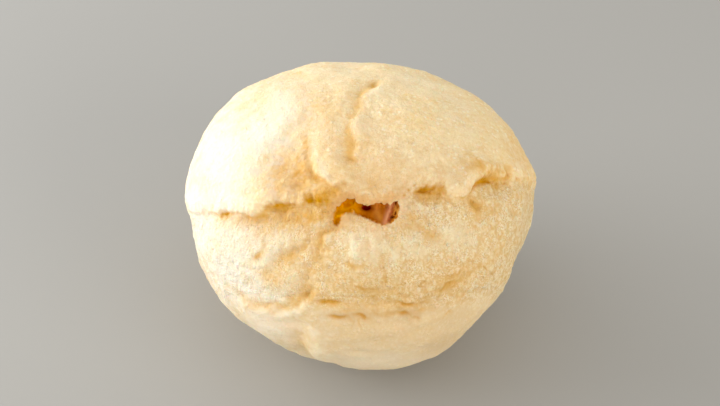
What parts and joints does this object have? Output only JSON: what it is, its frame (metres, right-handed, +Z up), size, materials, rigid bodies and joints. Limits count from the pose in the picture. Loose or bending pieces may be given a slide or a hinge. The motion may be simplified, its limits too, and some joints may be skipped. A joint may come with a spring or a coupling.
{
  "type": "cream puff",
  "caption": "Soft pale baked puff with a seam split across its upper front, a small hollow in the seam, a crown crease and a flat foot to stand on.",
  "frame": {"origin": "middle of the puff's bounding box, at the level of the flat foot it stands on", "axes": "+Z up out of the crown, +X to the puff's right along its seam, -Y the front that the seam and its small hollow look towards"},
  "size_m": [0.082, 0.0818, 0.0653],
  "materials": {
    "crust": "matte soft baked crust"
  },
  "bodies": {
    "root": {"cream_puff": "crust"}
  },
  "joints": []
}
